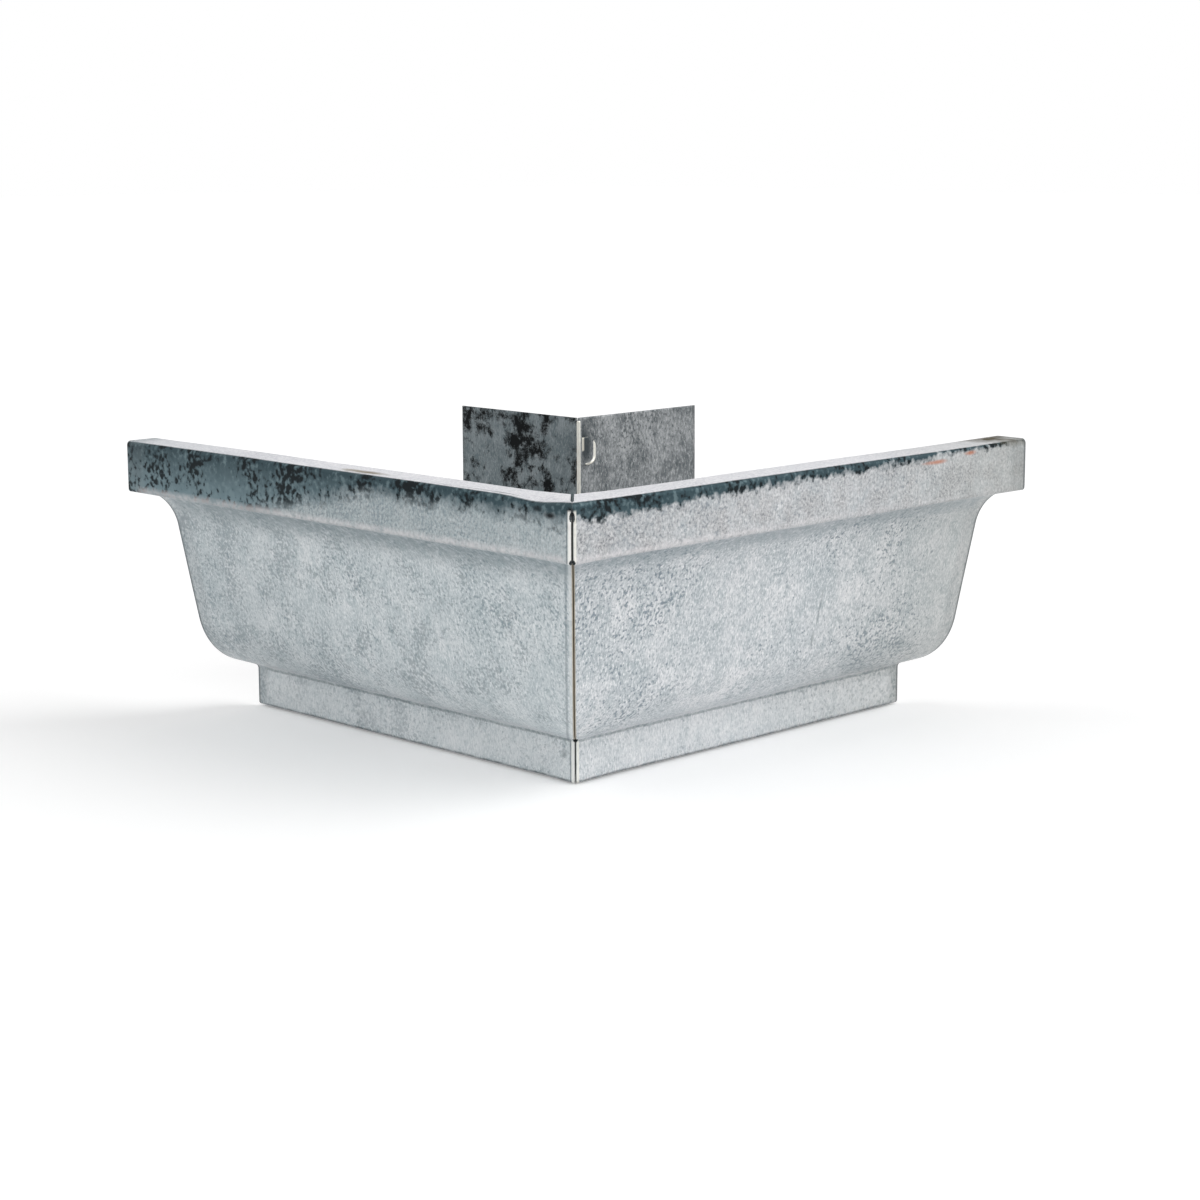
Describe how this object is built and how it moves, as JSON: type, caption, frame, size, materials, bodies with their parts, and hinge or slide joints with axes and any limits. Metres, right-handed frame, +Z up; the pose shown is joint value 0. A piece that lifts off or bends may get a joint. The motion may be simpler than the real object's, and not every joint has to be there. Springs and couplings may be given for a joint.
{
  "type": "outside gutter miter",
  "caption": "Outside corner piece for an ogee rain gutter in galvanised sheet steel, with halves folded and locked along a 45 degree miter seam.",
  "frame": {"origin": "the house's outside corner, where the two fascia faces meet, at the level of the gutter's underside", "axes": "+Z up, +X along the right arm, +Y along the left arm; the front corner points to -X and -Y"},
  "size_m": [0.178, 0.178, 0.083],
  "materials": {
    "galvanised_steel": "hot-dip galvanised, fine spangle, slightly weathered"
  },
  "bodies": {
    "root": {"left_half": "galvanised_steel", "right_half": "galvanised_steel"}
  },
  "joints": []
}
